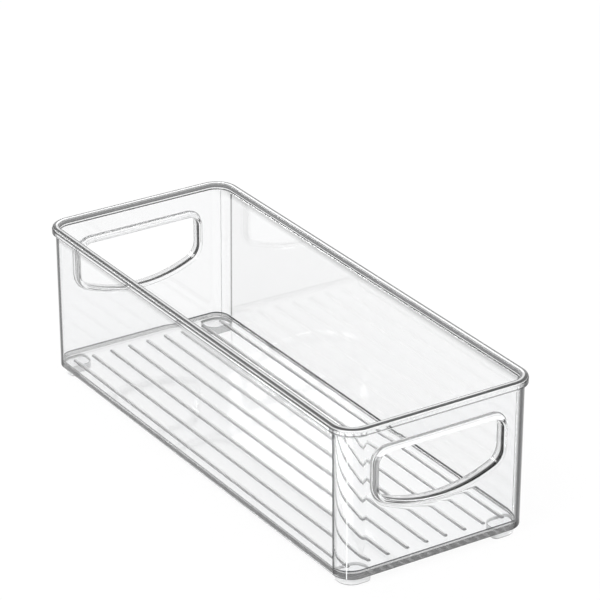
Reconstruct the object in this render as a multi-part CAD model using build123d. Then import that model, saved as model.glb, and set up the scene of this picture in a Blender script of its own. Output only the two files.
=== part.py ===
from build123d import *
from math import atan, degrees
import os

# Clear storage bin for a nursery shelf, one injection moulding in rigid clear plastic.
# Millimetres. X runs across the bin, Y along it, Z up. The origin is on the ground,
# under the middle of the bin, and the front end is towards -Y.
# The moulding is divided where its forms meet, and the divided faces lie face to face.

# Overall size, over the rim and down to the feet
bin_width = 100.0
bin_length = 258.0
bin_height = 76.5

# Walls and floor
foot_height = 4.0
floor_thickness = 2.2
wall_thickness = 2.0
wall_lean = 0.5
wall_corner_radius = 9.8
floor_outer_radius = 1.6
floor_inner_radius = 2.0
pan_lip = 0.8

# Rim bead, which stands out past the walls all round
rim_overhang = 1.7
rim_height = 3.6
rim_outer_top_radius = 1.5
rim_inner_top_chamfer = 0.6
rim_lower_chamfer = 0.4

# Finger opening in each end wall, with a straight top and a bowed lower edge
opening_width = 63.8
opening_height = 27.7
opening_below_rim_top = 14.5
opening_bow_rise = 8.2
opening_top_radius = 5.0
opening_low_radius = 8.0

# Collar round the opening, and the piece of end wall that it grows out of
collar_width = 2.2
collar_proud_inside = 2.0
collar_edge_chamfer = 0.5
collar_root_chamfer = 0.8
surround_margin = 3.4

# Drip ribs on the floor
rib_count = 9
rib_width = 2.0
rib_height = 0.8
rib_side_height = 0.3
rib_end_gap = 6.8
rib_side_gap = 4.8

# Corner feet
foot_width = 13.5
foot_length = 11.0
foot_inset = 2.4
foot_end_radius = 2.6
foot_inner_radius = 5.0
foot_edge_chamfer = 0.5

# Heights and half sizes that follow from the sizes above
floor_top = foot_height + floor_thickness
pan_top = floor_top + floor_inner_radius + pan_lip
rim_bottom = bin_height - rim_height
wall_half_width = bin_width / 2 - rim_overhang
wall_half_length = bin_length / 2 - rim_overhang
opening_top = bin_height - opening_below_rim_top
opening_bottom = opening_top - opening_height


def lean_at(height):
    """How far the walls have come in at a height, from nothing under the rim to wall_lean at the feet."""
    return wall_lean * (rim_bottom - height) / (rim_bottom - foot_height)


def wall_outline(inset):
    """Rounded rectangle of the walls' outer face under the rim, moved in by inset."""
    return RectangleRounded(
        2 * (wall_half_width - inset),
        2 * (wall_half_length - inset),
        wall_corner_radius - inset,
    )


def leaning_block(bottom, inset):
    """Block from a height up to the rim, with sides that lean as the walls do, moved in by inset."""
    block = extrude(Plane.XY.offset(bottom) * wall_outline(inset), rim_bottom - bottom)
    sides = block.faces().filter_by(Axis.Z, reverse=True)
    lean_angle = degrees(atan(wall_lean / (rim_bottom - foot_height)))
    return draft(sides, Plane.XY.offset(rim_bottom), -lean_angle)


def make_shell():
    """Leaning walls and floor as one shell, with the floor edge rounded inside and outside."""
    outside = leaning_block(foot_height, 0)
    outside = fillet(outside.edges().group_by(Axis.Z)[0], floor_outer_radius)
    cavity = leaning_block(floor_top, wall_thickness)
    cavity = fillet(cavity.edges().group_by(Axis.Z)[0], floor_inner_radius)
    return outside - cavity


def grip_outline(grow):
    """Finger opening seen square to the end wall, grown all round by grow."""
    side = opening_width / 2
    bow_end = opening_bottom + opening_bow_rise
    frame = Polyline((-side, bow_end), (-side, opening_top), (side, opening_top), (side, bow_end))
    bow = ThreePointArc((side, bow_end), (0, opening_bottom), (-side, bow_end))
    outline = make_face([*frame.edges(), *bow.edges()])
    outline = fillet(outline.vertices().group_by(Axis.Y)[-1], opening_top_radius)
    outline = fillet(outline.vertices().group_by(Axis.Y)[0], opening_low_radius)
    if grow > 0:
        outline = offset(outline, grow)
    return outline


def end_wall_plane():
    """Plane of the leaning front wall's outer face, centred on the middle height of the opening."""
    middle = (opening_top + opening_bottom) / 2
    slope = wall_lean / (rim_bottom - foot_height)
    origin = (0, lean_at(middle) - wall_half_length, middle)
    return Plane(origin=origin, x_dir=(1, 0, 0), z_dir=(0, -1, -slope))


def grip_prism(grow, proud_outside, proud_inside):
    """The grown opening run square through the front wall, standing proud of both its faces."""
    wall_plane = end_wall_plane()
    outline = Pos(0, -wall_plane.origin.Z) * grip_outline(grow)
    depth = proud_outside + wall_thickness + proud_inside
    return extrude(wall_plane.offset(proud_outside) * outline, -depth)


def surround_block():
    """Block that holds the collar's piece of end wall, reaching past the collar both ways."""
    past_collar = rim_overhang + collar_proud_inside
    margin = collar_width + surround_margin
    outline = Rectangle(opening_width + 2 * margin, opening_height + 2 * margin)
    depth = 2 * past_collar + wall_thickness
    return extrude(end_wall_plane().offset(past_collar) * outline, -depth)


def make_front_grip(shell):
    """Collar round the front opening, blended into the piece of end wall that it grows out of."""
    wall_plane = end_wall_plane()
    past_collar = rim_overhang + collar_proud_inside
    collar = grip_prism(collar_width, rim_overhang, collar_proud_inside)
    grip = (shell & surround_block()) + collar
    grip = grip - grip_prism(0, past_collar, past_collar)
    near_collar = grip_prism(collar_width + surround_margin / 2, past_collar, past_collar)
    roots = []
    for edge in grip.edges():
        depth = wall_plane.to_local_coords(edge @ 0.5).Z
        on_wall_face = min(abs(depth), abs(depth + wall_thickness)) < 0.01
        if on_wall_face and near_collar.is_inside(edge @ 0.5):
            roots.append(edge)
    grip = chamfer(roots, collar_root_chamfer)
    outward = Axis(wall_plane.origin, wall_plane.z_dir)
    grip = chamfer(grip.edges().group_by(outward)[-1], collar_edge_chamfer)
    grip = chamfer(grip.edges().group_by(outward)[0], collar_edge_chamfer)
    return grip


def turned_to_back(piece):
    """The same piece at the back end, half a turn round Z."""
    return piece.rotate(Axis.Z, 180)


def make_floor_pan(shell):
    """Floor with its rounded edges, up to just above the inner rounding."""
    return split(shell, Plane.XY.offset(pan_top), keep=Keep.BOTTOM)


def make_wall_band(shell):
    """The four walls and their corners above the floor pan, open where the grips sit."""
    band = split(shell, Plane.XY.offset(pan_top), keep=Keep.TOP)
    front_hole = surround_block()
    return band - front_hole - turned_to_back(front_hole)


def make_top_rim():
    """Bead on top of the walls, flush inside and standing out past them outside."""
    outline = RectangleRounded(bin_width, bin_length, wall_corner_radius + rim_overhang)
    solid_rim = extrude(Plane.XY.offset(rim_bottom) * outline, rim_height)
    cavity = extrude(Plane.XY.offset(rim_bottom) * wall_outline(wall_thickness), rim_height)
    rim = solid_rim - cavity
    rim = fillet(rim.faces().sort_by(Axis.Z)[-1].outer_wire().edges(), rim_outer_top_radius)
    rim = chamfer(rim.faces().sort_by(Axis.Z)[-1].inner_wires()[0].edges(), rim_inner_top_chamfer)
    rim = chamfer(rim.faces().sort_by(Axis.Z)[0].outer_wire().edges(), rim_lower_chamfer)
    return rim


def make_floor_ribs():
    """Low round-topped ribs with round ends, which keep things in the bin off spilt drops."""
    cavity_inset = wall_lean + wall_thickness
    rib_length = 2 * (wall_half_length - cavity_inset - rib_end_gap)
    outermost = wall_half_width - cavity_inset - rib_side_gap - rib_width / 2
    rib_pitch = 2 * outermost / (rib_count - 1)
    side = rib_width / 2
    outline = Polyline((-side, rib_side_height), (-side, 0), (side, 0), (side, rib_side_height))
    crown = ThreePointArc((side, rib_side_height), (0, rib_height), (-side, rib_side_height))
    section = Plane.XZ * make_face([*outline.edges(), *crown.edges()])
    bar = extrude(section, rib_length / 2, both=True)
    round_ended = extrude(SlotOverall(rib_length, rib_width, rotation=90), rib_height)
    rib = bar & round_ended
    ribs = []
    for index in range(rib_count):
        ribs.append(Pos(index * rib_pitch - outermost, 0, floor_top) * rib)
    return Compound(children=ribs)


def make_front_left_foot():
    """Foot under the front left corner, which follows the bin's corner and is well rounded inside."""
    inward = wall_lean + foot_inset
    corner_x = wall_half_width - inward
    corner_y = wall_half_length - inward
    outline = Rectangle(foot_width, foot_length, align=(Align.MIN, Align.MIN))
    corner_radii = (
        ((0, 0, 0), wall_corner_radius - inward),
        ((foot_width, foot_length, 0), foot_inner_radius),
        ((foot_width, 0, 0), foot_end_radius),
        ((0, foot_length, 0), foot_end_radius),
    )
    for corner, radius in corner_radii:
        outline = fillet(outline.vertices().sort_by_distance(corner)[0], radius)
    foot = extrude(Pos(-corner_x, -corner_y) * outline, foot_height)
    return chamfer(foot.edges().group_by(Axis.Z)[0], foot_edge_chamfer)


def make_nodes():
    """Every named piece of the moulding, in its place."""
    shell = make_shell()
    front_grip = make_front_grip(shell)
    front_left = make_front_left_foot()
    return {
        "floor_pan": make_floor_pan(shell),
        "wall_band": make_wall_band(shell),
        "top_rim": make_top_rim(),
        "front_grip_collar": front_grip,
        "back_grip_collar": turned_to_back(front_grip),
        "floor_ribs": make_floor_ribs(),
        "foot_front_left": front_left,
        "foot_front_right": mirror(front_left, about=Plane.YZ),
        "foot_back_left": mirror(front_left, about=Plane.XZ),
        "foot_back_right": turned_to_back(front_left),
    }


os.makedirs("parts", exist_ok=True)
for name, piece in make_nodes().items():
    export_step(piece, f"parts/{name}.step")
    print(name, "solids", len(piece.solids()), "volume", round(piece.volume / 1000, 2), "cm3")
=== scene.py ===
# %% [markdown]
# A clear storage bin for a nursery shelf is one injection moulding in rigid clear plastic.
# Clear plastic shows only what it bends: every edge, step and rounding draws a grey line.
# So the whole bin has to be one closed skin, with no faces left inside where two forms meet.
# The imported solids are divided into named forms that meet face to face, which is right for
# building and wrong for light, so one new surface stands for all of them here.
# %% The frame
import math

import bmesh
import bpy
import numpy as np
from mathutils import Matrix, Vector


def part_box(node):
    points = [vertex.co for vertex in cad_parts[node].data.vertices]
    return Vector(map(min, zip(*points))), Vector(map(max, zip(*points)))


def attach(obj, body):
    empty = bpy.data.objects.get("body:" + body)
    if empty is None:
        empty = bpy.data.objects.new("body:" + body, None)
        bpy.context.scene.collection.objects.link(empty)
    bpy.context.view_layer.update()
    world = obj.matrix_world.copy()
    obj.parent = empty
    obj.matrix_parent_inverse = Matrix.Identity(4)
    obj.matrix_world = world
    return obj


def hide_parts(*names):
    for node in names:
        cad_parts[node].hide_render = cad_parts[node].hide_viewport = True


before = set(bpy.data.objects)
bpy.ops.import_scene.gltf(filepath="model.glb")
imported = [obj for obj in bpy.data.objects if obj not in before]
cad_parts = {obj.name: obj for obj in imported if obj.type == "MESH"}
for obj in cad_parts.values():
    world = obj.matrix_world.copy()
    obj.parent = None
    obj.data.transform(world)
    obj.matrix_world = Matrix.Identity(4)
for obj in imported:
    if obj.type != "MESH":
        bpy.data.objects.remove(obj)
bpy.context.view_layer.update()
print("packed nodes", sorted(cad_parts))

# %% [markdown]
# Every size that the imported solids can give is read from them: the box of a node gives the
# height of the rim, the top of the floor or the corner of a foot. Only thicknesses and
# roundings, which no box shows, are written here, in metres.
# %% Sizes
MM = 0.001

rim_low, rim_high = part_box("top_rim")
_, wall_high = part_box("wall_band")
pan_low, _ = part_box("floor_pan")
rib_low, rib_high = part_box("floor_ribs")
collar_low, collar_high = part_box("front_grip_collar")
foot_low, foot_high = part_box("foot_front_left")

half_width = rim_high.x
half_length = rim_high.y
rim_top = rim_high.z
rim_bottom = rim_low.z
floor_bottom = pan_low.z
floor_top = rib_low.z
rib_top = rib_high.z
rim_overhang = rim_high.x - wall_high.x

wall_thickness = 2.0 * MM
wall_lean = 0.5 * MM
corner_radius = 11.5 * MM
floor_outer_radius = 0.5 * MM
floor_inner_radius = 1.2 * MM
print("half width, half length and rim height", half_width, half_length, rim_top)

# %% [markdown]
# The bin is round-cornered, and its wall has nearly the same section all the way round. Such
# a form is a profile carried along a closed path. The path here is a rounded rectangle, and a
# point of the profile is given by how far it lies in from the path, and by its height.
# Moving in from a rounded rectangle keeps its four corner centres and only shortens the
# corner radius, so each path sample is a base point and a direction, and no more is needed.
# The samples are close in the middle of the ends, where a patch with an opening joins on.
# %% The path round the bin
ARC_STEPS = 12
base_half_width = half_width - corner_radius
base_half_length = half_length - corner_radius


def along(*stops):
    """Positions from stop to stop: each stop is (end, steps), and the first has no steps."""
    pieces = [np.array([stops[0][0]])]
    for (start, _), (end, steps) in zip(stops, stops[1:]):
        pieces.append(np.linspace(start, end, steps + 1)[1:])
    return np.concatenate(pieces)


PATCH_HALF = 37.5 * MM
SIDE_COLUMNS = 60
LONG_SIDE_STEPS = 24
columns = along(
    (-base_half_width, 0), (-PATCH_HALF, 1), (PATCH_HALF, SIDE_COLUMNS), (base_half_width, 1))
rows = along((-base_half_length, 0), (base_half_length, LONG_SIDE_STEPS))


def bin_path():
    """Base points and outward directions, anticlockwise from the left end of the front side.

    On a straight side the base runs along the side and the direction is square to it. On a
    corner the base stays at the corner's centre and the direction turns through 90 degrees.
    """
    turn = np.linspace(0, np.pi / 2, ARC_STEPS + 1)[1:-1]
    sides = (
        (columns, -1, 0, -np.pi / 2),
        (rows, 1, 1, 0.0),
        (columns[::-1], 1, 0, np.pi / 2),
        (rows[::-1], -1, 1, np.pi),
    )
    bases, directions = [], []
    for values, sign, axis, heading in sides:
        straight = np.zeros((len(values), 2))
        straight[:, axis] = values
        straight[:, 1 - axis] = sign * (base_half_width if axis else base_half_length)
        bases.append(straight)
        directions.append(np.tile([np.cos(heading), np.sin(heading)], (len(values), 1)))
        bases.append(np.tile(straight[-1], (len(turn), 1)))
        directions.append(np.stack([np.cos(heading + turn), np.sin(heading + turn)], 1))
    return np.concatenate(bases), np.concatenate(directions)


path_base, path_out = bin_path()
print("path samples", len(path_base))


def raised(flat, height):
    """Points (x, y) with a height added to them."""
    return np.column_stack([flat, np.full(len(flat), height)])


def ring(inset, height):
    """The path moved in by inset at a height: base + (corner radius - inset) * direction."""
    return raised(path_base + (corner_radius - inset) * path_out, height)


# %% [markdown]
# The profile starts on the floor beside the ribs, goes up the inside of the wall, over the
# rim bead, down the outside and under to the flat underside. Each rounding is an arc of a
# few steps. The wall leans out by half a millimetre, as a moulding has to, to leave its mould.
# %% The wall's profile
PATCH_LOW = 26.0 * MM
PATCH_HIGH = 69.0 * MM
PATCH_STEPS = 16

rim_outer_radius = 1.5 * MM
rim_inner_radius = 0.6 * MM
rim_lower_radius = 0.5 * MM
rim_root_radius = 0.8 * MM


def lean(height):
    """How far the wall has come in at a height: nothing under the rim, wall_lean at the feet."""
    return wall_lean * np.clip((rim_bottom - height) / (rim_bottom - floor_bottom), 0, 1)


def arc(centre, radius, start, end, steps):
    """Points centre + radius * (cos a, sin a), for a from start to end in degrees."""
    a = np.radians(np.linspace(start, end, steps + 1))
    return np.column_stack([centre[0] + radius * np.cos(a), centre[1] + radius * np.sin(a)])


def wall_profile():
    """(inset, height) points, and the first row of the inner and of the outer patch.

    Inset grows towards the middle of the bin, so an arc's angle 0 points inwards. Each arc is
    its centre's inset and height, its radius, its first and last angle, and its steps.
    """
    inner, outer = rim_overhang + wall_thickness, rim_overhang
    low, under = floor_top + floor_inner_radius, floor_bottom + floor_outer_radius
    arcs = (
        (inner + lean(low) + floor_inner_radius, low, floor_inner_radius, 270, 180, 8),
        (inner - rim_inner_radius, rim_top - rim_inner_radius, rim_inner_radius, 0, 90, 6),
        (rim_outer_radius, rim_top - rim_outer_radius, rim_outer_radius, 90, 180, 10),
        (rim_lower_radius, rim_bottom + rim_lower_radius, rim_lower_radius, 180, 270, 5),
        (outer - rim_root_radius, rim_bottom - rim_root_radius, rim_root_radius, 90, 0, 6),
        (outer + lean(under) + floor_outer_radius, under, floor_outer_radius, 180, 270, 8),
    )
    floor_arc, *rim_arcs, under_arc = (arc(row[:2], *row[2:]) for row in arcs)
    heights = np.linspace(PATCH_LOW, PATCH_HIGH, PATCH_STEPS + 1)
    inside = np.column_stack([inner + lean(heights), heights])
    outside = np.column_stack([outer + lean(heights), heights])[::-1]
    before_outside = np.concatenate([floor_arc, inside, *rim_arcs])
    points = np.concatenate([before_outside, outside, under_arc])
    return points, len(floor_arc), len(before_outside)


profile, inner_row, outer_row = wall_profile()
print("profile points", len(profile), "patch rows start at", inner_row, outer_row)

# %% [markdown]
# A surface is kept as a list of patches, each an array of points and an array of four-sided
# faces. Where patches meet they have the same points, so welding them by distance at the end
# closes the skin. A grid is the plainest patch: rings of points, joined to the next ring.
# %% Patches
WELD_DISTANCE = 2e-6
patches = []


def add_grid(points, closed=False, keep=None):
    """Faces between rows and columns of an array (rows, columns, 3); keep masks the cells."""
    count, width = points.shape[:2]
    index = np.arange(count * width).reshape(count, width)
    if closed:
        index = np.concatenate([index, index[:, :1]], 1)
    faces = np.stack([index[:-1, :-1], index[:-1, 1:], index[1:, 1:], index[1:, :-1]], -1)
    faces = faces[keep] if keep is not None else faces.reshape(-1, 4)
    patches.append((points.reshape(-1, 3), faces))


def wall_grid():
    """The profile carried along the path, without the cells where the grip patches go."""
    points = np.stack([ring(inset, height) for inset, height in profile])
    keep = np.ones((len(profile) - 1, len(path_base)), bool)
    middle_x = (path_base + np.roll(path_base, -1, 0))[:, 0] / 2
    at_end = np.isclose(path_out[:, 0], 0) & (np.abs(middle_x) < PATCH_HALF)
    for first in (inner_row, outer_row):
        keep[first:first + PATCH_STEPS, at_end] = False
    add_grid(points, closed=True, keep=keep)


wall_grid()
print("wall faces", len(patches[0][1]))

# %% [markdown]
# Each end wall has a finger opening with a raised collar. The collar is the part that
# catches the eye, because its many roundings each bend the light another way.
# It is a profile again, carried along the outline of the opening: up out of the outer wall in
# a soft root, over the collar's face, through the opening, over the inner face and down to
# the inner wall. A point is the outline point plus s times its outward direction, raised by h.
# %% The outline of the opening
opening_half = 31.9 * MM
opening_height = 27.7 * MM
opening_below_rim_top = 14.5 * MM
bow_rise = 8.2 * MM
top_radius = 5.0 * MM
low_radius = 8.0 * MM
opening_top = rim_top - opening_below_rim_top
opening_bottom = opening_top - opening_height

HALF_TOP_ARC = 8
HALF_LOW_ARC = 8
UPRIGHT_ARC = 6


def chained_arcs(arcs, gaps):
    """Points and outward directions along arcs, each (centre, radius, start, end, steps).

    gaps gives the steps of the straight line in front of an arc. An arc with no straight line
    in front of it starts where the last one ended, so its first point is left out.
    """
    points, directions = [], []
    for number, (centre, radius, start, end, steps) in enumerate(arcs):
        turned = arc((0, 0), 1.0, start, end, steps)
        here = np.array(centre) + radius * turned
        if number in gaps:
            straight = np.linspace(points[-1][-1], here[0], gaps[number] + 1)[1:-1]
            points.append(straight)
            directions.append(np.tile(turned[0], (len(straight), 1)))
        elif number > 0:
            here, turned = here[1:], turned[1:]
        points.append(here)
        directions.append(turned)
    return np.concatenate(points), np.concatenate(directions)


def grip_outline():
    """Points (x, z) and outward directions, clockwise from the middle of the top left corner.

    The lower edge is an arc of one large circle through both bow ends and the lowest point.
    Each low corner is a circle that touches the upright side and the large circle, so its
    centre lies on a line from the large circle's centre, shorter by its radius.
    """
    bow_radius = (opening_half**2 + bow_rise**2) / (2 * bow_rise)
    bow_z = opening_bottom + bow_radius
    top_x, top_z = opening_half - top_radius, opening_top - top_radius
    low_x = opening_half - low_radius
    low_z = bow_z - math.sqrt((bow_radius - low_radius)**2 - low_x**2)
    low_turn = math.degrees(math.atan2(bow_z - low_z, low_x))
    low_split = low_turn * UPRIGHT_ARC / (UPRIGHT_ARC + HALF_LOW_ARC)
    straight = SIDE_COLUMNS - 2 * HALF_TOP_ARC
    upright = PATCH_STEPS - 2 * UPRIGHT_ARC
    arcs = (
        ((-top_x, top_z), top_radius, 135, 90, HALF_TOP_ARC),
        ((top_x, top_z), top_radius, 90, 45, HALF_TOP_ARC),
        ((top_x, top_z), top_radius, 45, 0, UPRIGHT_ARC),
        ((low_x, low_z), low_radius, 0, -low_split, UPRIGHT_ARC),
        ((low_x, low_z), low_radius, -low_split, -low_turn, HALF_LOW_ARC),
        ((0, bow_z), bow_radius, -low_turn, low_turn - 180, straight),
        ((-low_x, low_z), low_radius, low_turn - 180, low_split - 180, HALF_LOW_ARC),
        ((-low_x, low_z), low_radius, low_split - 180, -180, UPRIGHT_ARC),
        ((-top_x, top_z), top_radius, 180, 135, UPRIGHT_ARC),
    )
    points, directions = chained_arcs(arcs, {1: straight, 3: upright, 8: upright})
    return points[:-1], directions[:-1]


outline, outline_out = grip_outline()
loop_count = 2 * (SIDE_COLUMNS + PATCH_STEPS)
print("outline points", len(outline), "needed", loop_count)

# %% [markdown]
# The root of the collar is about 1 mm wide at the sides and top, and 3 mm wide under the
# bowed edge, where it bends the ribs that show through it. So its width is a function of the
# way the outline faces: it widens as the outward direction turns down.
# %% The collar
collar_width = 2.2 * MM
proud_outside = rim_overhang
proud_inside = 2.0 * MM
collar_edge_radius = 0.8 * MM
ROOT_WIDTH = 1.0 * MM
ROOT_WIDTH_BELOW = 3.0 * MM
ROOT_RISE = 0.8 * MM
WIDENING_POWER = 1.5
ROOT_STEPS = 8
EDGE_STEPS = 7
BORDER_RINGS = 3


def collar_half(proud, root_width):
    """(s, h) from the wall up over one side of the collar, as arrays (steps, outline points).

    The root is a quarter of an ellipse, as wide as root_width and as high as ROOT_RISE, and
    both edges of the face are quarter circles.
    """
    one = np.ones_like(root_width)
    a = np.radians(np.linspace(0, 90, ROOT_STEPS + 1))[:, None]
    root_s = collar_width + root_width * (1 - np.sin(a))
    root_h = ROOT_RISE * (1 - np.cos(a)) * one
    r = collar_edge_radius
    edge = arc((collar_width - r, proud - r), r, 0, 90, EDGE_STEPS)
    lip = arc((r, proud - r), r, 90, 180, EDGE_STEPS)
    both = np.concatenate([edge, lip])
    s = np.concatenate([root_s, both[:, :1] * one])
    h = np.concatenate([root_h, both[:, 1:] * one])
    return s, h


def rectangle_loop():
    """The patch's border (x, z) in the order of the outline: top, right, bottom, left."""
    x = np.linspace(-PATCH_HALF, PATCH_HALF, SIDE_COLUMNS + 1)
    z = np.linspace(PATCH_LOW, PATCH_HIGH, PATCH_STEPS + 1)
    top = np.column_stack([x[:-1], np.full(SIDE_COLUMNS, PATCH_HIGH)])
    right = np.column_stack([np.full(PATCH_STEPS, PATCH_HALF), z[:0:-1]])
    bottom = np.column_stack([x[:0:-1], np.full(SIDE_COLUMNS, PATCH_LOW)])
    left = np.column_stack([np.full(PATCH_STEPS, -PATCH_HALF), z[:-1]])
    return np.concatenate([top, right, bottom, left])


def grip_patch(turned):
    """Both wall faces round the opening and the collar through it; turned puts it at the back.

    A few rings lead from the patch's border to the collar's root, evenly spaced.
    """
    facing_down = np.clip(-outline_out[:, 1], 0, 1)
    widening = (ROOT_WIDTH_BELOW - ROOT_WIDTH) * facing_down**WIDENING_POWER
    width_out = ROOT_WIDTH + widening
    out_s, out_h = collar_half(proud_outside, width_out)
    in_s, in_h = collar_half(proud_inside, np.full(len(outline), ROOT_WIDTH))
    s = np.concatenate([out_s, in_s[::-1]])[..., None]
    h = np.concatenate([out_h, -wall_thickness - in_h[::-1]])
    flat = outline + s * outline_out
    border = rectangle_loop()
    blend = np.linspace(0, 1, BORDER_RINGS + 1)[:-1, None, None]
    outer_flat = border + blend * (flat[0] - border)
    inner_flat = border + blend[::-1] * (flat[-1] - border)
    flat = np.concatenate([outer_flat, flat, inner_flat])
    pad = np.zeros((len(blend), len(outline)))
    h = np.concatenate([pad, h, pad - wall_thickness])
    x, z = flat[..., 0], flat[..., 1]
    y = -half_length + rim_overhang + lean(z) - h
    sign = -1 if turned else 1
    add_grid(np.stack([sign * x, sign * y, z], -1), closed=True)


grip_patch(turned=False)
grip_patch(turned=True)
print("collar proud outside and inside", proud_outside, proud_inside)
print("packed collar reaches lengthways from", collar_low.y, "to", collar_high.y)

# %% [markdown]
# Nine low ribs keep things off spilt drops. A rib is an island in the floor, so it is built
# like the collar: rings that start on the border of its own strip of floor, step in to the
# rib's slot-shaped foot, and climb over its dome until both sides meet on its middle line.
# The dome is listed as shares of the rib's half width and height, from the foot to the middle.
# %% The floor and its ribs
RIB_COUNT = 9
RIB_PROFILE = (
    (1.1, 0.0), (1.0, 0.08), (0.94, 0.32), (0.84, 0.56),
    (0.68, 0.78), (0.46, 0.93), (0.22, 0.99), (0.0, 1.0),
)
FLOOR_X = 42.0 * MM
FLOOR_Y = 121.0 * MM
rib_half = 1.0 * MM
rib_pitch = (rib_high.x - rib_low.x - 2 * rib_half) / (RIB_COUNT - 1)
rib_straight = rib_high.y - rib_half
rib_height = rib_top - floor_top


def border_values(straight_values, straight_end, end):
    """Samples of a straight side, lengthened at both ends to reach a corner of the floor."""
    leg = np.linspace(straight_end, end, ARC_STEPS // 2 + 1)[1:]
    return np.concatenate([-leg[::-1], straight_values, leg])


floor_columns = border_values(columns, base_half_width, FLOOR_X)
floor_rows = border_values(rows, base_half_length, FLOOR_Y)


def floor_frame(inset, height):
    """One ring of faces from the round-cornered ring to the floor's rectangle inside it.

    A corner's arc samples go half to one leg of the square corner and half to the other.
    """
    flat = path_base.copy()
    turn = np.linspace(0, 1, ARC_STEPS + 1)[1:-1]
    corner = np.column_stack([np.clip(2 * turn, 0, 1), 1 - np.clip(2 * turn - 1, 0, 1)])
    at = 0
    signs = ((1, -1), (1, 1), (-1, 1), (-1, -1))
    for number, (sign_x, sign_y) in enumerate(signs):
        on_end = number % 2 == 0
        count = len(columns) if on_end else len(rows)
        side = slice(at, at + count)
        here = slice(at + count, at + count + len(turn))
        at = here.stop
        if on_end:
            flat[side, 1] = sign_y * FLOOR_Y
        else:
            flat[side, 0] = sign_x * FLOOR_X
        x, y = (corner if on_end else corner[::-1]).T
        flat[here, 0] = sign_x * (base_half_width + x * (FLOOR_X - base_half_width))
        flat[here, 1] = sign_y * (base_half_length + y * (FLOOR_Y - base_half_length))
    add_grid(np.stack([raised(flat, height), ring(inset, height)]), closed=True)


def box_loop(x, y):
    """Border of a rectangle with the given samples: along the front, right, back and left."""
    front = np.column_stack([x[:-1], np.full(len(x) - 1, y[0])])
    right = np.column_stack([np.full(len(y) - 1, x[-1]), y[:-1]])
    back = np.column_stack([x[:0:-1], np.full(len(x) - 1, y[-1])])
    left = np.column_stack([np.full(len(y) - 1, x[0]), y[:0:-1]])
    return np.concatenate([front, right, back, left])


def rib_strip(centre, low_x, high_x):
    """A strip of floor with one rib: its border, then the rings of RIB_PROFILE.

    A ring is the rib's middle line plus radius * outward direction, raised by its height. The
    direction turns half round at each end of the rib, and is square to it along the sides.
    """
    inside = (floor_columns > low_x - WELD_DISTANCE) & (floor_columns < high_x + WELD_DISTANCE)
    x = floor_columns[inside]
    border = box_loop(x, floor_rows)
    ends = len(x) - 1
    straight = floor_rows * rib_straight / FLOOR_Y
    front = arc((0, 0), 1.0, 180, 360, ends)[:-1]
    back = arc((0, 0), 1.0, 0, 180, ends)[:-1]
    right = np.tile([1.0, 0.0], (len(straight) - 1, 1))
    outward = np.concatenate([front, right, back, -right])
    middle_y = np.concatenate([
        np.full(ends, -rib_straight), straight[:-1],
        np.full(ends, rib_straight), straight[:0:-1],
    ])
    middle = np.column_stack([np.full(len(middle_y), centre), middle_y])
    rings = [raised(border, floor_top)]
    for radius, height in RIB_PROFILE:
        flat = middle + radius * rib_half * outward
        rings.append(raised(flat, floor_top + height * rib_height))
    add_grid(np.stack(rings), closed=True)


def floor_surface():
    """The flat of the floor from the rounding at the walls inwards, and a strip for each rib."""
    floor_frame(profile[0][0], floor_top)
    edges = (np.arange(RIB_COUNT + 1) - RIB_COUNT / 2) * rib_pitch
    edges = np.clip(edges, -FLOOR_X, FLOOR_X)
    for number in range(RIB_COUNT):
        centre = (number - (RIB_COUNT - 1) / 2) * rib_pitch
        rib_strip(centre, edges[number], edges[number + 1])


floor_surface()
print("rib pitch in mm", rib_pitch / MM)

# %% [markdown]
# Underneath, the bin is one flat face. It closes the skin, so it has to meet the wall's last
# ring point for point, which the same frame of faces as on the floor's upper side does.
# %% The underside
def flat_grid(x, y, height):
    """A flat rectangle of faces with the given samples."""
    grid_x, grid_y = np.meshgrid(x, y)
    add_grid(np.stack([grid_x, grid_y, np.full(grid_x.shape, height)], -1))


floor_frame(profile[-1][0], floor_bottom)
flat_grid(floor_columns, floor_rows, floor_bottom)
print("patches", len(patches))

# %% [markdown]
# Welding joins the patches. Then all faces are turned outwards, which only works on a closed
# skin, and the edges that don't have exactly two faces are counted: there should be none.
# Smooth shading needs care on clear plastic, because a flat wall with slightly bent normals
# looks like a lens. So a point's normal is the sum of its faces' normals, each times the
# square of its area: a wide flat face then wins over the narrow strips of a rounding.
# %% One closed skin
def weld_patches(name):
    """Takes all patches off the list and makes one mesh, with its faces turned outwards."""
    counts = [len(points) for points, _ in patches]
    starts = np.cumsum([0] + counts[:-1])
    points = np.concatenate([points for points, _ in patches])
    faces = np.concatenate([faces + start for (_, faces), start in zip(patches, starts)])
    mesh = bpy.data.meshes.new(name)
    mesh.from_pydata(points.tolist(), [], faces.tolist())
    patches.clear()
    work = bmesh.new()
    work.from_mesh(mesh)
    bmesh.ops.remove_doubles(work, verts=work.verts, dist=WELD_DISTANCE)
    unused = [point for point in work.verts if not point.link_faces]
    bmesh.ops.delete(work, geom=unused, context="VERTS")
    bmesh.ops.recalc_face_normals(work, faces=work.faces)
    open_edges = sum(not edge.is_manifold for edge in work.edges)
    volume = work.calc_volume(signed=True)
    work.to_mesh(mesh)
    work.free()
    print("points", len(mesh.vertices), "faces", len(mesh.polygons))
    print("open edges", open_edges, "volume in cm3", volume / (10 * MM)**3)
    return mesh


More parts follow.
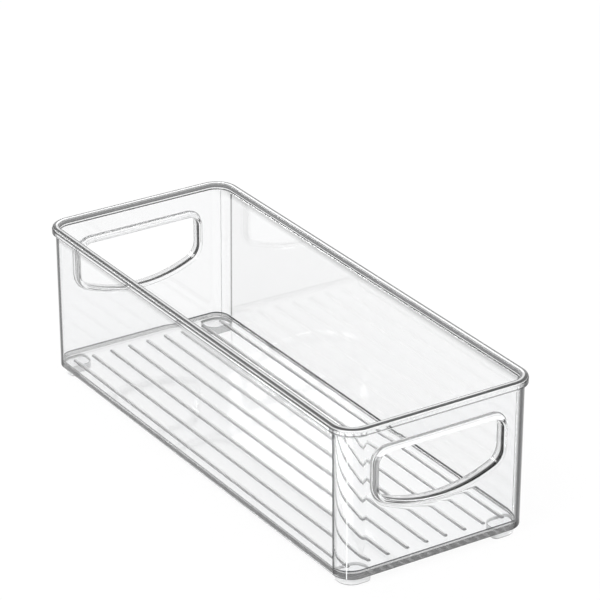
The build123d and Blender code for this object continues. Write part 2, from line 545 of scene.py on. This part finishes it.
def set_flat_winning_normals(mesh):
    """Vertex normal = sum over its faces of the face's normal * area squared, made unit long."""
    count = len(mesh.polygons)
    normals = np.empty(count * 3)
    areas = np.empty(count)
    sizes = np.empty(count, int)
    corners = np.empty(len(mesh.loops), int)
    mesh.polygons.foreach_get("normal", normals)
    mesh.polygons.foreach_get("area", areas)
    mesh.polygons.foreach_get("loop_total", sizes)
    mesh.loops.foreach_get("vertex_index", corners)
    pull = normals.reshape(-1, 3) * (areas**2)[:, None]
    total = np.zeros((len(mesh.vertices), 3))
    np.add.at(total, corners, np.repeat(pull, sizes, 0))
    total /= np.linalg.norm(total, axis=1, keepdims=True)
    mesh.shade_smooth()
    mesh.normals_split_custom_set_from_vertices(total.tolist())


def plastic_piece(name, *nodes):
    """Turns the listed patches into a piece that rides on the bin and stands for the nodes."""
    mesh = weld_patches(name)
    set_flat_winning_normals(mesh)
    piece = bpy.data.objects.new(name, mesh)
    bpy.context.scene.collection.objects.link(piece)
    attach(piece, "root")
    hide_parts(*nodes)
    return piece


foot_nodes = [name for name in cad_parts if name.startswith("foot_")]
body_nodes = [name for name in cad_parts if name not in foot_nodes]
bin_moulding = plastic_piece("bin_moulding", *body_nodes)
pieces = [bin_moulding]

# %% [markdown]
# The floor's edge shows as one grey band that also runs on above the feet. If the feet were
# one with the floor, light would leave through them there and break the band. So each foot is
# a closed piece of its own, a hair's breadth under the floor, as a clear pad would be.
# Its outline follows the bin's own corner, and its rings go from the middle of its top out
# to the outline, down its side and back in to the middle underneath.
# %% The feet
foot_outer_radius = 6.9 * MM
foot_end_radius = 2.6 * MM
foot_inner_radius = 5.0 * MM
foot_edge_radius = 0.6 * MM
foot_top_radius = 0.2 * MM
FOOT_GAP = 0.02 * MM
FOOT_END_STEPS = 8
FOOT_ROUND_STEPS = 12
FOOT_TOP_STEPS = 3
FOOT_EDGE_STEPS = 5


def foot_outline():
    """Points and outward directions of the front left foot, from its inner end at the front.

    It goes to the left along the front, round the bin's corner, back along the left side,
    to the right along the foot's back and forwards along its inner side. The straight sides
    are one step each.
    """
    low, high = foot_low, foot_high
    outer, end, inner = foot_outer_radius, foot_end_radius, foot_inner_radius
    arcs = (
        ((high.x - end, low.y + end), end, 0, -90, FOOT_END_STEPS),
        ((low.x + outer, low.y + outer), outer, -90, -180, FOOT_ROUND_STEPS),
        ((low.x + end, high.y - end), end, 180, 90, FOOT_END_STEPS),
        ((high.x - inner, high.y - inner), inner, 90, 0, FOOT_ROUND_STEPS),
    )
    return chained_arcs(arcs, {1: 1, 2: 1, 3: 1})


def clear_foot(name, mirror_x, mirror_y):
    """A low block on the outline, rounded at both its edges, mirrored into its corner."""
    points, outward = foot_outline()
    top, r, e = floor_bottom - FOOT_GAP, foot_top_radius, foot_edge_radius
    top_edge = arc((-r, top - r), r, 90, 0, FOOT_TOP_STEPS)
    low_edge = arc((-e, e), e, 0, -90, FOOT_EDGE_STEPS)
    side = [raised(points + s * outward, z) for s, z in np.concatenate([top_edge, low_edge])]
    middle = np.tile(points.mean(0), (len(points), 1))
    rings = [raised(middle, top), *side, raised(middle, 0.0)]
    add_grid(np.stack(rings) * [mirror_x, mirror_y, 1], closed=True)
    return plastic_piece("clear_" + name, name)


for name in foot_nodes:
    to_right, to_back = "right" in name, "back" in name
    pieces.append(clear_foot(name, -1 if to_right else 1, -1 if to_back else 1))
print("pieces", len(pieces))

# %% [markdown]
# Shader maths reads best as sums and products. This small class wraps a socket of a node, so
# that an expression such as 1 - mask * 0.5 adds the Math nodes by itself. Any other node
# comes from its node method, with its settings first and then what its inputs get. A material
# or a world starts with an emptied tree and ends with its output node.
# %% Shader expressions
class Wire:
    """An output socket in a node tree, on which + - and * add Math nodes."""

    def __init__(self, tree, socket=None):
        self.tree = tree
        self.socket = socket

    def node(self, kind, settings=(), output=0, **inputs):
        """Add a node; an input is named with _ for each space, and takes a value or a Wire."""
        made = self.tree.nodes.new(kind)
        for key, value in dict(settings).items():
            setattr(made, key, value)
        for key, value in inputs.items():
            number = key.removeprefix("input_")
            socket = made.inputs[int(number) if number.isdigit() else key.replace("_", " ")]
            if isinstance(value, Wire):
                self.tree.links.new(value.socket, socket)
            else:
                socket.default_value = value
        return Wire(self.tree, made.outputs[output])

    def outputs(self, *names):
        """Wires from the named outputs of this wire's node."""
        return [Wire(self.tree, self.socket.node.outputs[name]) for name in names]

    def to_output(self, kind):
        """Link this shader to the surface of a new output node."""
        self.tree.links.new(self.socket, self.tree.nodes.new(kind).inputs["Surface"])

    def math(self, operation, first, second):
        """A Math node on two values, each a number or a Wire."""
        settings = {"operation": operation}
        return self.node("ShaderNodeMath", settings, input_0=first, input_1=second)

    def then(self, operation, other=0.0):
        """A Math node on this value, with a second value where the operation takes one."""
        return self.math(operation, self, other)

    def __add__(self, other):
        return self.math("ADD", self, other)

    def __sub__(self, other):
        return self.math("SUBTRACT", self, other)

    def __rsub__(self, other):
        return self.math("SUBTRACT", other, self)

    def __mul__(self, other):
        return self.math("MULTIPLY", self, other)

    __radd__ = __add__
    __rmul__ = __mul__

    def clamped(self):
        """The value held between 0 and 1."""
        return self.node("ShaderNodeClamp", Value=self)


def fresh_tree(owner):
    """Empty the node tree of a material or a world, and give a Wire to start from."""
    owner.use_nodes = True
    owner.node_tree.nodes.clear()
    return Wire(owner.node_tree)


# %% [markdown]
# The material has to know where on the bin it is. Height and inset, the same two numbers as in
# the profile, tell one edge of the section from the next all the way round. The distances from
# the middle tell the ends from the long sides, and find the corners and the finger openings.
# A mask is 1 where such a number lies in a range and 0 elsewhere, and a product of masks is 1
# only where all of them are. FAR is a metre, past any place on the bin, and stands for no end.
# %% Masks
FAR = 1.0
OUTER_WALL = (1.5 * MM, 2.7 * MM)
WALL_AND_UNDER_EDGE = (1.5 * MM, 3.0 * MM)
INNER_WALL = (3.2 * MM, 5.6 * MM)
RIM_FACE = (-FAR, 0.6 * MM)
RIB_INSET = 8.0 * MM
RIB_HEIGHTS = (floor_top + 0.1 * rib_height, rib_top + 0.2 * MM)
GRIP_REACH = 36 * MM
TUNNEL = (0.1 * MM - wall_thickness, -0.1 * MM)
COLLAR_TOP = (opening_top - 0.6 * MM, PATCH_HIGH)
ABOVE_FLOOR = floor_top + 1 * MM


def between(value, low, high):
    """1 where low < value < high, and 0 elsewhere."""
    return value.then("GREATER_THAN", low) * value.then("LESS_THAN", high)


def ramp(value, from_low, from_high, low, high):
    """low below from_low, high above from_high, and a straight line from one to the other."""
    return value.node(
        "ShaderNodeMapRange", Value=value, From_Min=from_low, From_Max=from_high,
        To_Min=low, To_Max=high)


def coordinates(start, place):
    """Distance from the middle across and lengthways, height, and inset from the bin's outline.

    Inset is the corner radius less the distance from the path's base point, which is the
    corner's centre at a corner and lies straight across from the place on a side.
    """
    x, y, height = start.node("ShaderNodeSeparateXYZ", Vector=place).outputs("X", "Y", "Z")
    side, end = x.then("ABSOLUTE"), y.then("ABSOLUTE")
    past_side = (side - base_half_width).then("MAXIMUM")
    past_end = (end - base_half_length).then("MAXIMUM")
    from_base = (past_side * past_side + past_end * past_end).then("SQRT")
    return x, side, end, height, corner_radius - from_base


def on_corner(side, end):
    """1 on the four round corners."""
    return between(side, base_half_width, FAR) * between(end, base_half_length, FAR)


def on_a_rib(end, inset, height):
    """1 on the ribs, from a little above their foot."""
    off_walls = between(inset, RIB_INSET, FAR) * between(end, -FAR, rib_high.y)
    return between(height, *RIB_HEIGHTS) * off_walls


def grip_place(side, end, height):
    """How far a place near a finger opening stands proud of the wall, and two masks.

    The masks are 1 for all such places, and 1 in the tunnel through the collar. Within the
    thickness of the wall the tunnel is the only surface there, so how far a place stands proud
    of the leaning outer wall is all that has to be known.
    """
    lean_slope = wall_lean / (rim_bottom - floor_bottom)
    proud = end - (half_length - rim_overhang) + (rim_bottom - height) * lean_slope
    on_grip = between(side, -FAR, GRIP_REACH) * between(height, PATCH_LOW, PATCH_HIGH)
    return proud, on_grip, on_grip * between(proud, *TUNNEL)


def at_collar_top(height):
    """1 above the finger openings, where the collars' tops are."""
    return between(height, *COLLAR_TOP)


print("insets of the outer and the inner wall", OUTER_WALL, INNER_WALL)

# %% [markdown]
# The grey lines at the moulding's edges are painted shade. In real clear plastic such a line
# comes from light that enters at a sharp edge and is led away inside the wall; here each line
# is a darker tint in a narrow band of the surface. A line that runs all the way round the rim is
# listed by the insets and the heights that it lies between and by how grey it is, and the
# others follow one by one.
# %% Painted shade lines
RIM_LINES = {
    "outer edge": ((0.5 * MM, 1.9 * MM), (rim_top - 0.6 * MM, FAR), 0.9),
    "inner edge": ((2.9 * MM, 3.8 * MM), (rim_top - 0.6 * MM, FAR), 0.7),
    "inner side": (INNER_WALL, (rim_top - 1.9 * MM, rim_top - 0.5 * MM), 0.85),
    "lower edge": (RIM_FACE, (rim_bottom + 0.5 * MM, rim_bottom + 1.1 * MM), 0.85),
}
RIM_SIDE, RIM_SIDE_GREY = (rim_top - 1.6 * MM, rim_top - 1.0 * MM), 0.95
UNDER_RIM, UNDER_RIM_GREY = (rim_bottom - 3.8 * MM, rim_bottom - 1.2 * MM), 0.6
FLOOR_LINE, FLOOR_LINE_GREY = (1.5 * MM, 2.2 * MM), 1.0
FLOOR_BAND, FLOOR_BAND_GREY = (0.5 * MM, 1.5 * MM), 0.6
FLOOR_LINES_LOWER = 1 * MM
CORNER_LINE = (base_half_length - 0.3 * MM, base_half_length + 0.9 * MM)
CORNER_LINE_GREY = 0.85
RIB_EDGE, RIB_GREY = (0.5 * MM, 0.7 * MM), (0.15, 0.3)
TUNNEL_GREY = 0.25
COLLAR_OUTER_EDGE = (proud_outside - 0.75 * MM, proud_outside - 0.3 * MM)
COLLAR_INNER_EDGE = tuple(edge - wall_thickness - proud_inside for edge in (0.2 * MM, 0.7 * MM))
COLLAR_EDGE_GREY = 0.6
FAINTER_AT_TOP = 0.6
EDGE_ON = (0.32, 0.52)
FOOT_LINE, FOOT_LINE_GREY = (0.02 * MM, 0.55 * MM), 0.7


def edge_painted_shade(end, inset, height):
    """Painted shade: grey lines round the rim, under it, round the floor and up the corners.

    The line on the rim's side and the soft painted shade under the rim are on the long sides
    only. The lines round the floor lie a little lower on the long sides than at the ends.
    """
    outer_wall, inner_wall = between(inset, *OUTER_WALL), between(inset, *INNER_WALL)
    on_long_side = ramp(end, base_half_length, half_length - 2 * MM, 1.0, 0.0)
    all_round = sum(
        between(inset, *insets) * between(height, *heights) * grey
        for insets, heights, grey in RIM_LINES.values())
    rim_side = between(inset, *RIM_FACE) * between(height, *RIM_SIDE) * on_long_side
    # Painted shade under the rim on the long sides, fading out downwards.
    under_rim = outer_wall * on_long_side * between(height, 0.0, rim_bottom)
    under_rim = under_rim * ramp(height, *UNDER_RIM, 0.0, UNDER_RIM_GREY)
    over_floor = height - floor_top + on_long_side * FLOOR_LINES_LOWER
    floor_line = between(over_floor, *FLOOR_LINE) * FLOOR_LINE_GREY
    floor_band = between(over_floor, *FLOOR_BAND) * FLOOR_BAND_GREY
    corner_line = outer_wall * between(height, ABOVE_FLOOR, rim_bottom) * between(end, *CORNER_LINE)
    return (
        all_round + rim_side * RIM_SIDE_GREY + under_rim
        + inner_wall * (floor_line + floor_band) + corner_line * CORNER_LINE_GREY
    )


def rib_painted_shade(x, end, inset, height):
    """Ribs tinted with painted shade, a little darker at both edges of each rib."""
    nearest = (x * (1 / rib_pitch)).then("ROUND") * rib_pitch
    off_middle = (x - nearest).then("ABSOLUTE")
    return on_a_rib(end, inset, height) * ramp(off_middle, *RIB_EDGE, *RIB_GREY)


def grip_painted_shade(side, end, height):
    """Painted shade: a grey tunnel through each collar and thin lines at its edges, fainter at the
    top.
    """
    proud, on_grip, tunnel = grip_place(side, end, height)
    edges = between(proud, *COLLAR_OUTER_EDGE) + between(proud, *COLLAR_INNER_EDGE)
    lines = tunnel * TUNNEL_GREY + on_grip * edges * COLLAR_EDGE_GREY
    return lines * (1 - FAINTER_AT_TOP * at_collar_top(height))


def corner_painted_shade(side, end, inset, height):
    """Painted shade on the round corners where they are seen edge-on, darker the more edge-on."""
    outer_face = between(inset, -FAR, OUTER_WALL[1])
    upright = between(height, floor_bottom, rim_top - 0.5 * MM)
    edge_on = side.node("ShaderNodeLayerWeight", output="Facing", Blend=0.5)
    return on_corner(side, end) * outer_face * upright * ramp(edge_on, *EDGE_ON, 0.0, 1.0)


def painted_shade_share(start, place):
    """How much painted shade greys the plastic at a place on it, from 0 for clear to 1."""
    x, side, end, height, inset = coordinates(start, place)
    lines = edge_painted_shade(end, inset, height) + rib_painted_shade(x, end, inset, height)
    lines = lines + corner_painted_shade(side, end, inset, height) + grip_painted_shade(side, end, height)
    # The last term is a painted shade line along the bottom of the feet.
    return (lines + between(height, *FOOT_LINE) * FOOT_LINE_GREY).clamped()


print("grey lines all round the rim", list(RIM_LINES))

# %% [markdown]
# Some places are partly matt. The feet and the foot of the walls are slid on shelves, the rim
# and the tunnels are taken hold of, and things slide over the ribs. A matt share also shows a
# place's tint, painted shade included, softly and evenly, whatever is behind it. In the
# photograph the rim, the collars' tops and the feet look soft and even, so they get more of it
# than rubbing alone would give. A last matt place is a thin line up each round corner: a
# painted highlight.
# %% Matt places
MATT_SHARES = {
    "wall_foot": 0.12,
    "tunnel": 0.3,
    "rib": 0.3,
    "rim_crest": 0.5,
    "foot_side": 0.75,
    "corner_painted_highlight": 0.8,
    "collar_top": 0.85,
}
RIM_CREST_INSETS = (0.2 * MM, 4.0 * MM)
RIM_CREST_DEPTH = 2.0 * MM
FOOT_SIDE = (0.1 * MM, floor_bottom - 0.3 * MM)
CORNER_HIGHLIGHT_HALF = 0.3 * MM
OFF_WALL = 0.3 * MM


def corner_painted_highlight(side, end, inset, height):
    """A painted highlight: a thin matt line up the middle of each corner, as far past the end's
    base as past the side's.
    """
    off_middle = side - end - (base_half_width - base_half_length)
    outer_wall = between(inset, *WALL_AND_UNDER_EDGE)
    outer_wall = outer_wall * between(height, floor_bottom - FOOT_GAP / 2, rim_bottom)
    return on_corner(side, end) * outer_wall * between(off_middle, -CORNER_HIGHLIGHT_HALF, CORNER_HIGHLIGHT_HALF)


def matt_share(start, place):
    """How matt the plastic is at a place on it, from 0 for glossy to 1."""
    _, side, end, height, inset = coordinates(start, place)
    proud, on_grip, tunnel = grip_place(side, end, height)
    off_wall = between(proud, OFF_WALL, FAR) + between(proud, -FAR, -OFF_WALL - wall_thickness)
    masks = {
        "wall_foot": between(inset, *WALL_AND_UNDER_EDGE) * between(height, -FAR, ABOVE_FLOOR),
        "tunnel": tunnel,
        "rib": on_a_rib(end, inset, height),
        "rim_crest": between(inset, *RIM_CREST_INSETS) * between(
            height, rim_top - RIM_CREST_DEPTH, FAR),
        "foot_side": between(height, *FOOT_SIDE),
        "corner_painted_highlight": corner_painted_highlight(side, end, inset, height),
        "collar_top": on_grip * off_wall * at_collar_top(height),
    }
    return sum(masks[name] * share for name, share in MATT_SHARES.items()).clamped()


print("matt shares", MATT_SHARES)

# %% [markdown]
# Clear polystyrene or polyester is glass-like: light passes through and bends by an index of
# about 1.58. A perfect glass looks like a computer's. Real moulded plastic has faint flow
# waves from the way it filled its mould, and fine rubbed marks that blur it a little.
# Both are noise on Object coordinates: the waves feed a Bump node, the rubbing the roughness.
# %% The clear plastic
CLEARNESS = 0.99
PLASTIC_IOR = 1.58
CLEAR = (0.993, 0.996, 1.0, 1.0)
# A near black that the painted shade lines mix into the plastic's tint.
PAINTED_SHADE_COLOUR = (0.012, 0.013, 0.014, 1.0)
LEAST_ROUGHNESS = 0.012
RUBBED_ROUGHNESS = 0.02
MATT_ROUGHNESS = 0.7
FLOW_SCALE = (30.0, 12.0, 30.0)
FLOW_STRENGTH = 0.05
RUBBED_SCALE = 160.0


def clear_plastic():
    """Clear plastic with uneven gloss, faint flow waves and painted shade lines in its tint, mixed
    with matt of the same tint.
    """
    material = bpy.data.materials.new("clear_plastic")
    start = fresh_tree(material)
    place = start.node("ShaderNodeTexCoord", output="Object")
    stretched = start.node("ShaderNodeMapping", Vector=place, Scale=FLOW_SCALE)
    flow = start.node("ShaderNodeTexNoise", Vector=stretched, Scale=1.0, Detail=1.0)
    bump = start.node(
        "ShaderNodeBump", output="Normal", Strength=FLOW_STRENGTH, Distance=MM, Height=flow)
    rubbed = start.node(
        "ShaderNodeTexNoise", Vector=place, Scale=RUBBED_SCALE, Detail=4.0, Roughness=0.6)
    # The tint is painted shade: the clear colour mixed towards a near black where the grey lines
    # lie.
    tint = start.node(
        "ShaderNodeMix", {"data_type": "RGBA"}, output=2, input_0=painted_shade_share(start, place),
        input_6=CLEAR, input_7=PAINTED_SHADE_COLOUR)
    plastic = start.node(
        "ShaderNodeBsdfPrincipled", Base_Color=tint, Normal=bump, IOR=PLASTIC_IOR,
        Roughness=LEAST_ROUGHNESS + RUBBED_ROUGHNESS * rubbed)
    plastic.socket.node.inputs["Transmission Weight"].default_value = CLEARNESS
    matt = start.node("ShaderNodeBsdfPrincipled", Base_Color=tint, Roughness=MATT_ROUGHNESS)
    surface = start.node(
        "ShaderNodeMixShader", input_0=matt_share(start, place), input_1=plastic, input_2=matt)
    surface.to_output("ShaderNodeOutputMaterial")
    return material


plastic_material = clear_plastic()
for piece in pieces:
    piece.data.materials.append(plastic_material)
print("material nodes", len(plastic_material.node_tree.nodes))

# %% [markdown]
# The photograph has a pure white ground. The floor is a mix of a white that only the camera,
# and what it sees in or through the plastic, can see, and a plain matt white that the lamps
# light. The second part keeps the bin's soft shadow. The white seen through the plastic is
# painted darker for a ray that was mirrored inside the plastic before it left, and this painted
# shade greys the plastic where light is led along inside it: TURNED_ONCE and TURNED_AGAIN are
# what is left of the floor's white after one mirroring and after more.
# %% Floor
PURE_WHITE = (1.0, 1.0, 1.0, 1.0)
MATT_WHITE = (0.9, 0.9, 0.9, 1.0)
GLOW_SHARE = 0.93
TURNED_ONCE = 0.6
TURNED_AGAIN = 0.05
FLOOR_REACH = 12.0
FLOOR_GAP = 0.05 * MM


def white_seen(start):
    """1 for the camera's rays, also once they were mirrored or bent, and 0 for lighting rays."""
    seen_by = ("Is Camera Ray", "Is Glossy Ray", "Is Transmission Ray")
    return sum(start.node("ShaderNodeLightPath").outputs(*seen_by)).clamped()


def seen_strength(start):
    """How white the floor shows: full straight on, and painted grey after mirroring in the plastic.

    Depths are whole numbers, so a half tells one from none, and one and a half two from one.
    """
    bent, mirrored_times, scattered_times = start.node("ShaderNodeLightPath").outputs(
        "Is Transmission Ray", "Glossy Depth", "Diffuse Depth")
    once, again = (mirrored_times.then("GREATER_THAN", times) for times in (0.5, 1.5))
    unscattered = scattered_times.then("LESS_THAN", 0.5)
    loss = once * (1 - TURNED_ONCE) + again * (TURNED_ONCE - TURNED_AGAIN)
    return 1 - bent * unscattered * loss


def floor_material():
    """Matt white that keeps a shadow, mixed with a white glow for the rays that are seen."""
    material = bpy.data.materials.new("floor_white")
    start = fresh_tree(material)
    matt = start.node("ShaderNodeBsdfDiffuse", Color=MATT_WHITE)
    glow = start.node("ShaderNodeEmission", Color=PURE_WHITE, Strength=seen_strength(start))
    share = white_seen(start) * GLOW_SHARE
    mixed = start.node("ShaderNodeMixShader", input_0=share, input_1=matt, input_2=glow)
    mixed.to_output("ShaderNodeOutputMaterial")
    return material


floor_mesh = bpy.data.meshes.new("floor")
floor_corners = [
    (x * FLOOR_REACH, y * FLOOR_REACH, -FLOOR_GAP)
    for x, y in ((-1, -1), (1, -1), (1, 1), (-1, 1))
]
floor_mesh.from_pydata(floor_corners, [], [(0, 1, 2, 3)])
floor_mesh.materials.append(floor_material())
floor = bpy.data.objects.new("floor", floor_mesh)
bpy.context.scene.collection.objects.link(floor)
print("floor corners", floor_corners)

# %% [markdown]
# Clear things are lit from around them, not onto them. The background is white for the
# camera. What the plastic bends or mirrors past the floor is a white band near the
# horizon that turns grey higher up, and that grey is what draws the edges. The band ends and
# the grey begins at heights on a sky of radius 1.
# %% World
LIGHTING_LEVEL = 0.9
BACKDROP_LEVEL = 1.0
OVERHEAD_LEVEL = 0.3
BACKDROP_TO = 0.6
OVERHEAD_FROM = 0.9


def studio_world():
    """White for the camera, and a grey that deepens with height for bent and mirrored rays."""
    world = bpy.data.worlds.new("studio")
    bpy.context.scene.world = world
    start = fresh_tree(world)
    direction = start.node("ShaderNodeTexCoord", output="Generated")
    height = start.node("ShaderNodeSeparateXYZ", output="Z", Vector=direction)
    rise = start.node(
        "ShaderNodeMapRange", {"interpolation_type": "SMOOTHSTEP"}, Value=height,
        From_Min=BACKDROP_TO, From_Max=OVERHEAD_FROM, To_Min=BACKDROP_LEVEL,
        To_Max=OVERHEAD_LEVEL)
    direct, lighting = start.node("ShaderNodeLightPath").outputs(
        "Is Camera Ray", "Is Diffuse Ray")
    bright = direct + (1 - direct) * (lighting * LIGHTING_LEVEL + (1 - lighting) * rise)
    glow = start.node("ShaderNodeBackground", Color=PURE_WHITE, Strength=bright)
    glow.to_output("ShaderNodeOutputWorld")


studio_world()
print("world level near the horizon and overhead", BACKDROP_LEVEL, OVERHEAD_LEVEL)

# %% [markdown]
# Three square lamps give the matt places and the floor their light. The one on the left does
# most, the one on the right fills in, and a small one behind the bin lights the far rim. Wide
# lamps keep the bin's shadow soft.
# %% Lamps
LAMPS = (
    ("lamp_left", (-1.2, -0.6, 1.4), 0.9, 14.0),
    ("lamp_right", (1.1, -0.9, 1.2), 0.7, 6.0),
    ("lamp_rim", (-0.45, 1.14, 0.86), 0.45, 5.0),
)


def soft_lamp(name, place, size, power):
    """A square area lamp, size metres wide and power watts strong, that looks at the bin."""
    lamp = bpy.data.lights.new(name, "AREA")
    lamp.shape = "SQUARE"
    lamp.size = size
    lamp.energy = power
    holder = bpy.data.objects.new(name, lamp)
    holder.location = place
    aim = Vector((0, 0, rim_top / 2)) - Vector(place)
    holder.rotation_euler = aim.to_track_quat("-Z", "Y").to_euler()
    bpy.context.scene.collection.objects.link(holder)


for lamp_sizes in LAMPS:
    soft_lamp(*lamp_sizes)
print("lamps", len(LAMPS))

# %% [markdown]
# The camera stands where the photograph was taken from: a long lens, a little over a metre
# and a half away, turned 33 degrees to the bin's left and 25 degrees above its horizon.
# %% Camera
CAMERA_AZIMUTH = math.radians(-32.657)
CAMERA_ELEVATION = math.radians(25.267)
CAMERA_DISTANCE = 1588.143 * MM
CAMERA_TARGET = Vector((49.396 * MM, 59.830 * MM, 38.0 * MM))
FOCAL_PIXELS = 3347.287
IMAGE_PIXELS = 600
SENSOR_WIDTH = 36.0

camera_data = bpy.data.cameras.new("camera")
camera_data.sensor_width = SENSOR_WIDTH
camera_data.lens = SENSOR_WIDTH * FOCAL_PIXELS / IMAGE_PIXELS
back = Vector((
    math.sin(CAMERA_AZIMUTH) * math.cos(CAMERA_ELEVATION),
    -math.cos(CAMERA_AZIMUTH) * math.cos(CAMERA_ELEVATION),
    math.sin(CAMERA_ELEVATION),
))
camera = bpy.data.objects.new("camera", camera_data)
camera.location = CAMERA_TARGET + back * CAMERA_DISTANCE
camera.rotation_euler = (-back).to_track_quat("-Z", "Y").to_euler()
bpy.context.scene.collection.objects.link(camera)
bpy.context.scene.camera = camera
bpy.context.scene.view_settings.view_transform = "Standard"
print("lens in mm", camera_data.lens)
